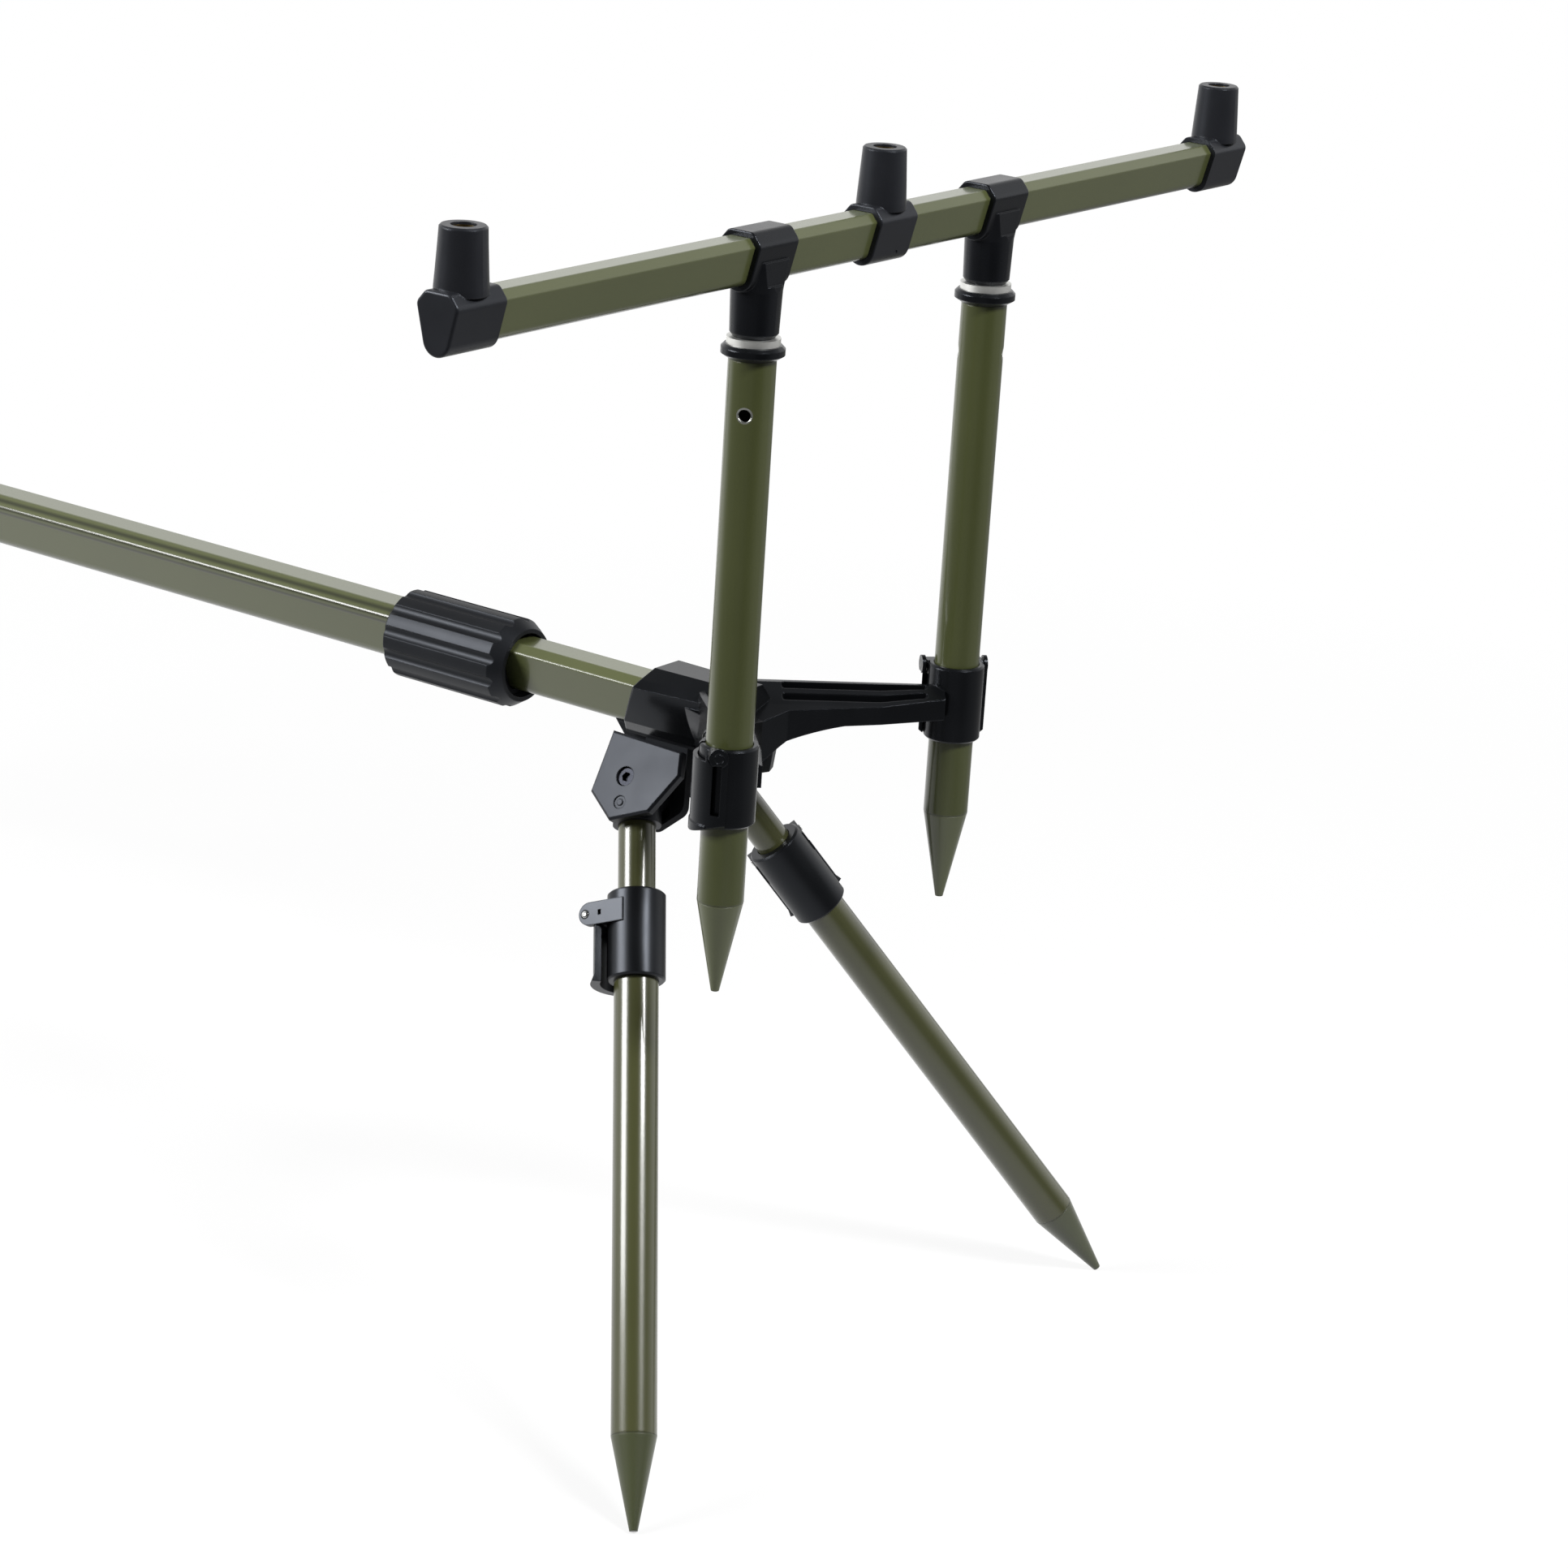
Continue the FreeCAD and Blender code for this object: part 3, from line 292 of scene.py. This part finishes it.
index_circle = 0.0106
index_angles = (-133, -88, -43)
lug_depth = 0.0144
skin_radius = 0.00355
skin_foot = 0.0010
skin_top = 0.0022
skin_steps = ((0.0008, -0.0004), (0.0015, -0.0002))
skin = stepped_disc(skin_radius, skin_foot, skin_top, 32, skin_steps, 40, yoke_nylon)
for leg, lengthways, side in (("front_right", 1, "a"), ("front_left", 1, "b"),
                              ("rear_left", -1, "a"), ("rear_right", -1, "b")):
    hinge = joint_named(leg + "_leg_fold")
    outward = Vector(hinge["axis"])
    if outward.z < 0:
        outward = -outward
    up_the_lug = (Vector((0, 0, 1)) - outward * outward.z).normalized()
    end = leg.split("_")[0]
    for number, angle in enumerate(index_angles):
        turn = math.radians(angle)
        spot = (Vector(hinge["pos_m"]) + Vector((lengthways * index_circle * math.cos(turn), 0, 0))
                + up_the_lug * index_circle * math.sin(turn) - outward * lug_depth)
        set_copy(end + "_index_skin_" + side + str(number + 1), skin, facing(spot, outward),
                 end + "_carriage")

# Sleeve clamp levers: thin-walled mouldings of the same nylon, with a finger window.
# Each turns on two bosses of its sleeve, which is split so that it can grip the upright.

lever_nylon = moulded_nylon("black_nylon_of_levers", "08090A", "0F1012", 0.24)
dress(["front_right_sleeve_lever", "front_left_sleeve_lever",
       "rear_right_sleeve_lever", "rear_left_sleeve_lever"], lever_nylon)

# Leg knuckles: six-sided nylon blocks on the yoke's lug plates, with a flat face of fine even grain.
# The leg's tube is bonded into them from below.

knuckle_nylon = moulded_nylon("black_nylon_of_knuckles", "0E0F12", "17181C", 0.44)
dress(["front_right_leg_knuckle", "front_left_leg_knuckle",
       "rear_right_leg_knuckle", "rear_left_leg_knuckle"], knuckle_nylon)

# Pivot bolts with their nuts: turned steel with black oxide, sunk in the knuckle's bore.
# The oxide leaves a dull oily shine with fine rings from the lathe.


def turned_metal(name, base, rough, pitch):
    """Lathe-turned metal: fine rings across the axis, a pitch apart, and a little uneven shine."""
    ring_depth = 0.0001
    stain_width = 0.004
    shinier, duller = 0.05, 0.08
    material = bpy.data.materials.new(name)
    material.use_nodes = True
    tree = material.node_tree
    tree.nodes.clear()
    place = add(tree, "ShaderNodeTexCoord").outputs["Object"]
    rings = add(tree, "ShaderNodeTexWave", {
        "Vector": place, "Scale": wave_unit / pitch, "Distortion": 0.4},
        wave_type="BANDS", bands_direction="Z")
    bump = add(tree, "ShaderNodeBump", {
        "Height": rings.outputs[1], "Strength": 0.15, "Distance": ring_depth})
    stain = add(tree, "ShaderNodeTexNoise", {"Vector": place, "Scale": 1 / stain_width})
    shine = add(tree, "ShaderNodeMapRange", {
        "Value": stain.outputs[0], 3: rough - shinier, 4: rough + duller})
    metal = add(tree, "ShaderNodeBsdfPrincipled", {
        "Base Color": from_hex(base), "Metallic": 1.0, "Roughness": shine.outputs[0],
        "Normal": bump.outputs[0]})
    add(tree, "ShaderNodeOutputMaterial", {"Surface": metal.outputs[0]})
    return material


fine_feed = 0.0003
black_oxide = turned_metal("black_oxide_steel", "1E1F23", 0.26, fine_feed)
dress(["front_pivot_bolts", "rear_pivot_bolts"], black_oxide)

# Legs, upper and lower tubes: round drawn aluminium, enamelled glossier than the bars and painted
# darker as shade.
# The lower tube slides on the upper one, and its turned point is bonded in and painted with it.
# The turned points take the paint flatter than the drawn tubes, and are painted a little darker still,
# as painted shade.

shaded_leg_enamel = stove_enamel("olive_enamel_on_leg_tubes_painted_shade", "4A4C2F", "434529", 0.24)
shaded_leg_point_enamel = stove_enamel("olive_enamel_on_leg_points_painted_shade", "454A2E", "3E432A", 0.42)
legs = ("front_right", "front_left", "rear_right", "rear_left")
for leg in legs:
    dress([leg + "_leg_upper_tube", leg + "_leg_lower_tube"], shaded_leg_enamel)
    dress([leg + "_leg_spike"], shaded_leg_point_enamel)

# Leg clamps and their cam levers: nylon mouldings, the clamp bonded on the lower tube's head. Each
# lever turns on a steel pin through the clamp's two ears, and its peened ends show as bright dots.

clamp_nylon = moulded_nylon("black_nylon_of_leg_clamps", "08090A", "0F1012", 0.34)
pin_steel = turned_metal("zinc_plated_pin_steel", "D6D7D6", 0.22, fine_feed)
pin_radius = 0.00165
pin_seat = 0.0120
pin_face = 0.0131
pin_steps = ((0.00035, 0.0003), (0.0006, 0.0001), (0.0002, -0.0003))
pin_end = stepped_disc(pin_radius, pin_seat, pin_face, 24, pin_steps, 50, pin_steel)
for leg in legs:
    dress([leg + "_leg_clamp", leg + "_leg_lever"], clamp_nylon)
    hinge = joint_named(leg + "_leg_lever_hinge")
    for side, way in (("near", 1), ("far", -1)):
        set_copy(leg + "_pin_end_" + side, pin_end, facing(hinge["pos_m"], Vector(hinge["axis"]) * way),
                 leg + "_leg_lever")

# Uprights: round drawn aluminium tubes, enamelled, with a turned point bonded in below.
# A cross hole is drilled near the top after painting, so that bare metal shows round its edge.

hole_radius = 0.0025
bare_edge = 0.0006
bare_fade = 0.0002
hole_height = 0.435
for name, turn in (("front_right", -65), ("front_left", 33), ("rear_right", 115), ("rear_left", 213)):
    low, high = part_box(name + "_upright_tube")
    middle = ((low[0] + high[0]) / 2, (low[1] + high[1]) / 2, hole_height)
    drilled = (math.cos(math.radians(turn)), math.sin(math.radians(turn)), 0.0)
    # Each upright's enamel is darker than the bars', as painted shade.
    shaded_drilled_enamel = stove_enamel("olive_enamel_shaded_drilled_" + name, "4A4F2C", "424727", 0.30)
    tree = shaded_drilled_enamel.node_tree
    arm = add(tree, "ShaderNodeVectorMath", {
        0: tree.nodes["place"].outputs["Object"], 1: middle}, operation="SUBTRACT")
    across = add(tree, "ShaderNodeVectorMath", {0: arm.outputs[0], 1: drilled},
                 operation="CROSS_PRODUCT")
    reach = add(tree, "ShaderNodeVectorMath", {0: across.outputs[0]}, operation="LENGTH")
    bare = add(tree, "ShaderNodeMapRange", {
        "Value": reach.outputs["Value"], 1: hole_radius + bare_edge,
        2: hole_radius + bare_edge + bare_fade, 3: 1.0, 4: 0.0})
    metal = add(tree, "ShaderNodeMix", {
        0: bare.outputs[0], 6: tree.nodes["tone"].outputs[2], 7: from_hex("C9CBC4")}, data_type="RGBA")
    tree.links.new(metal.outputs[2], tree.nodes["paint"].inputs["Base Color"])
    tree.links.new(bare.outputs[0], tree.nodes["paint"].inputs["Metallic"])
    dress([name + "_upright_tube"], shaded_drilled_enamel)
post_point_enamel = stove_enamel("olive_enamel_on_upright_points", "565B3A", "4D5234", 0.42)
dress(["front_upright_spikes", "rear_upright_spikes"], post_point_enamel)

# Flanges in the uprights' tops and the coupling rings above them. The flange is moulded nylon with
# a glossy rounded rim. The ring and its stud are turned steel, plated with bright nickel.

flange_nylon = moulded_nylon("black_nylon_of_flanges", "0B0C0E", "111214", 0.22)
dress(["front_upright_flanges", "rear_upright_flanges"], flange_nylon)
bright_nickel = turned_metal("nickel_plated_turned_steel", "F2F2EE", 0.42, fine_feed)
dress(["front_coupling_studs", "rear_coupling_studs"], bright_nickel)

# Buzz bars: aluminium drawn to a smaller shield section and enamelled like the main bar.
# The tees, the centre post and the end caps are fixed over each.

dress(["front_buzz_bar_tube", "rear_buzz_bar_tube"], olive_enamel)

# Tees, centre posts and end caps: nylon mouldings from smooth tools, fixed over the buzz bar.
# The posts' rounded rims catch two small lights. The caps and centre posts are painted a shade greyer,
# as painted light.

tee_nylon = moulded_nylon("black_nylon_of_tees", "0A0B0D", "121316", 0.27)
lit_cap_nylon = moulded_nylon("nylon_of_caps_and_posts_in_painted_light", "1A1B1E", "222327", 0.34)
for end in ("front", "rear"):
    dress([end + "_tee_fittings"], tee_nylon)
    dress([end + "_centre_post", end + "_end_caps"], lit_cap_nylon)

# Threaded inserts: brass bushes moulded into the posts, tapped 3/8 inch at 26 to the inch, and given a
# darker tone than fresh brass. The thread is a helical ridge wound down the bore, a real pitch of 0.977
# mm.

insert_feed = 0.0005
darkened_insert_brass = turned_metal("darkened_machined_brass", "7A6A45", 0.34, insert_feed)
dress(["front_threaded_inserts", "rear_threaded_inserts"], darkened_insert_brass)
thread_pitch = 0.000977
thread_turns = 12
bore_radius = 0.0043
ridge_height = 0.0004
ridge_radius = 0.0003
insert_drop = 0.001
thread_lead_in = 0.0006
post_reach = 0.255
select_none()
bpy.ops.mesh.primitive_circle_add(vertices=3, radius=ridge_radius, fill_type="NOTHING",
                                  location=(0, 0, 0), rotation=(math.pi / 2, 0, 0))
ridge = bpy.context.object
bpy.ops.object.transform_apply(location=True, rotation=True, scale=True)
bpy.ops.object.mode_set(mode="EDIT")
bpy.ops.mesh.select_all(action="SELECT")
bpy.ops.transform.rotate(value=math.pi / 2, orient_axis="Y", center_override=(0, 0, 0))
bpy.ops.transform.translate(value=(bore_radius - ridge_height / 2, 0, 0))
bpy.ops.object.mode_set(mode="OBJECT")
wind = ridge.modifiers.new("wind", "SCREW")
wind.axis = "Z"
wind.angle = 2 * math.pi
wind.screw_offset = -thread_pitch
wind.iterations = thread_turns
wind.steps = 32
wind.render_steps = 32
bpy.ops.object.modifier_apply(modifier="wind")
bpy.ops.object.mode_set(mode="EDIT")
bpy.ops.mesh.select_all(action="SELECT")
bpy.ops.mesh.fill_holes(sides=4)
bpy.ops.mesh.select_all(action="SELECT")
bpy.ops.mesh.normals_make_consistent(inside=False)
bpy.ops.object.mode_set(mode="OBJECT")
bpy.ops.object.shade_smooth_by_angle(angle=math.radians(40))
ridge.data.materials.append(darkened_insert_brass)
helix = ridge.data
bpy.data.objects.remove(ridge)
for end in ("front", "rear"):
    post_low, post_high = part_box(end + "_centre_post")
    x = (post_low[0] + post_high[0]) / 2
    cap_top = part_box(end + "_end_caps")[1][2]
    for spot, y, top in (("centre", 0.0, post_high[2]), ("right", -post_reach, cap_top),
                         ("left", post_reach, cap_top)):
        place = Matrix.Translation((x, y, top - insert_drop - thread_lead_in))
        set_copy(end + "_thread_" + spot, helix, place, end + "_goalpost")

# Studio floor: white background paper under and behind the pod, which runs out in front of it and
# on its right. Seen directly it is white, with a faint shadow at the feet. In gloss it is white
# too, as far as the paper goes.

floor_size = 24
pod_front = (0.35, 0.0, 0.0)
shadow_near, shadow_far = 0.45, 1.3
white_near, white_far = 0.84, 1.0
front_side = Vector((0.25, -0.968, 0.0))
right_side = Vector((0.804, 0.595, 0.0))
front_near, front_far, front_left_over = 0.0, 0.80, 0.12
right_near, right_far, right_left_over = 0.15, 0.60, 0.25
select_none()
bpy.ops.mesh.primitive_plane_add(size=floor_size, location=(0, 0, 0))
floor = bpy.context.object
floor.name = "studio_floor"
paper = bpy.data.materials.new("white_background_paper")
paper.use_nodes = True
tree = paper.node_tree
tree.nodes.clear()
place = add(tree, "ShaderNodeTexCoord").outputs["Object"]
path = add(tree, "ShaderNodeLightPath")
shade = add(tree, "ShaderNodeMix", {
    0: path.outputs["Is Diffuse Ray"], 6: from_hex("F2F2F2"), 7: from_hex("6E6E6E")}, data_type="RGBA")
sheet = add(tree, "ShaderNodeBsdfPrincipled", {"Base Color": shade.outputs[2], "Roughness": 0.9})
middle = add(tree, "ShaderNodeVectorMath", {0: place, 1: pod_front}, operation="SUBTRACT")
away = add(tree, "ShaderNodeVectorMath", {0: middle.outputs[0]}, operation="LENGTH")
clear = add(tree, "ShaderNodeMapRange", {
    "Value": away.outputs["Value"], 1: shadow_near, 2: shadow_far, 3: white_near, 4: white_far})
direct = add(tree, "ShaderNodeMath", {
    0: path.outputs["Is Camera Ray"], 1: clear.outputs[0]}, operation="MULTIPLY")
ahead_of = add(tree, "ShaderNodeVectorMath", {0: middle.outputs[0], 1: front_side},
               operation="DOT_PRODUCT")
runs_out = add(tree, "ShaderNodeMapRange", {
    "Value": ahead_of.outputs["Value"], 1: front_near, 2: front_far, 3: 1.0, 4: front_left_over})
right_of = add(tree, "ShaderNodeVectorMath", {0: middle.outputs[0], 1: right_side},
               operation="DOT_PRODUCT")
ends_right = add(tree, "ShaderNodeMapRange", {
    "Value": right_of.outputs["Value"], 1: right_near, 2: right_far, 3: 1.0, 4: right_left_over})
left_white = add(tree, "ShaderNodeMath", {
    0: runs_out.outputs[0], 1: ends_right.outputs[0]}, operation="MULTIPLY")
in_gloss = add(tree, "ShaderNodeMath", {
    0: path.outputs["Is Glossy Ray"], 1: path.outputs["Is Transmission Ray"]}, operation="MAXIMUM")
strength = add(tree, "ShaderNodeMix", {0: in_gloss.outputs[0], 2: 1.0, 3: left_white.outputs[0]})
share = add(tree, "ShaderNodeMath", {
    0: direct.outputs[0], 1: in_gloss.outputs[0]}, operation="MAXIMUM")
glow = add(tree, "ShaderNodeEmission", {"Color": from_hex("FFFFFF"), "Strength": strength.outputs[0]})
both = add(tree, "ShaderNodeMixShader", {0: share.outputs[0], 1: sheet.outputs[0], 2: glow.outputs[0]})
add(tree, "ShaderNodeOutputMaterial", {"Surface": both.outputs[0]})
floor.data.materials.append(paper)

# Backdrop and room: seen directly the surroundings are white. In gloss the backdrop behind is white,
# and the room in front and overhead is dim, as it is behind the camera in a studio.

camera_side = Vector((0.578, -0.816, 0.0))
turns_from, turns_to = -0.3, 0.3
gloss_behind, gloss_front = 1.0, 0.10
rise_low, rise_high, gloss_overhead = 0.35, 0.8, 0.25
fill_behind, fill_front = 0.50, 0.12
world = bpy.data.worlds.new("white_studio")
bpy.context.scene.world = world
world.use_nodes = True
tree = world.node_tree
tree.nodes.clear()
toward = add(tree, "ShaderNodeTexCoord").outputs["Generated"]
path = add(tree, "ShaderNodeLightPath")
front = add(tree, "ShaderNodeVectorMath", {0: toward, 1: camera_side}, operation="DOT_PRODUCT")
behind = add(tree, "ShaderNodeMapRange", {
    "Value": front.outputs["Value"], 1: turns_from, 2: turns_to, 3: gloss_behind, 4: gloss_front})
rise = add(tree, "ShaderNodeSeparateXYZ", {0: toward})
low = add(tree, "ShaderNodeMapRange", {
    "Value": rise.outputs[2], 1: rise_low, 2: rise_high, 3: 1.0, 4: gloss_overhead})
gloss = add(tree, "ShaderNodeMath", {0: behind.outputs[0], 1: low.outputs[0]}, operation="MULTIPLY")
in_gloss = add(tree, "ShaderNodeMath", {
    0: path.outputs["Is Glossy Ray"], 1: path.outputs["Is Transmission Ray"]}, operation="MAXIMUM")
fill = add(tree, "ShaderNodeMapRange", {
    "Value": front.outputs["Value"], 1: turns_from, 2: turns_to, 3: fill_behind, 4: fill_front})
lit = add(tree, "ShaderNodeMix", {0: in_gloss.outputs[0], 2: fill.outputs[0], 3: gloss.outputs[0]})
level = add(tree, "ShaderNodeMix", {0: path.outputs["Is Camera Ray"], 2: lit.outputs[0], 3: 1.0})
sky = add(tree, "ShaderNodeBackground", {"Color": from_hex("FFFFFF"), "Strength": level.outputs[0]})
add(tree, "ShaderNodeOutputWorld", {"Surface": sky.outputs[0]})

# Two softboxes, one at the left of the camera and one at the right and higher.
# Both look at the pod's front end, and they draw the pale strips along its tubes.

lit_point = Vector((0.37, -0.10, 0.20))
for name, spot, wide, size, watts in (
        ("left_softbox", (-1.14, -1.78, 1.51), (0.779, -0.272, 0.563), (1.35, 0.85), 72.0),
        ("right_softbox", (2.08, -0.03, 2.15), (0.348, 0.875, -0.34), (0.75, 0.50), 60.0)):
    lamp = bpy.data.lights.new(name, "AREA")
    lamp.shape = "RECTANGLE"
    lamp.size, lamp.size_y = size
    lamp.energy = watts
    box = bpy.data.objects.new(name, lamp)
    back = (Vector(spot) - lit_point).normalized()
    wide = (Vector(wide) - back * back.dot(Vector(wide))).normalized()
    turned = Matrix((wide, back.cross(wide), back)).transposed().to_4x4()
    box.matrix_world = Matrix.Translation(spot) @ turned
    bpy.context.collection.objects.link(box)

# Camera: a long lens above and in front of the pod's front end, as in the photograph.
# Its place, its turn and its focal length were fitted to the straight edges of the pod.

right = Vector((0.80243676, 0.59365232, 0.06059845))
up = Vector((-0.23447476, 0.22028801, 0.94683408))
ahead = Vector((-0.54874114, 0.77398328, -0.31596368))
viewpoint = (1.410918, -1.396311, 0.826808)
focal_pixels = 5322.59
photo_pixels = 1932
film_width = 36.0
lens = bpy.data.cameras.new("photo_camera")
lens.sensor_fit = "HORIZONTAL"
lens.sensor_width = film_width
lens.lens = focal_pixels * film_width / photo_pixels
lens.clip_end = 100.0
camera = bpy.data.objects.new("photo_camera", lens)
turned = Matrix((right, up, -ahead)).transposed().to_4x4()
camera.matrix_world = Matrix.Translation(viewpoint) @ turned
bpy.context.collection.objects.link(camera)
bpy.context.scene.camera = camera
bpy.context.scene.view_settings.view_transform = "Standard"
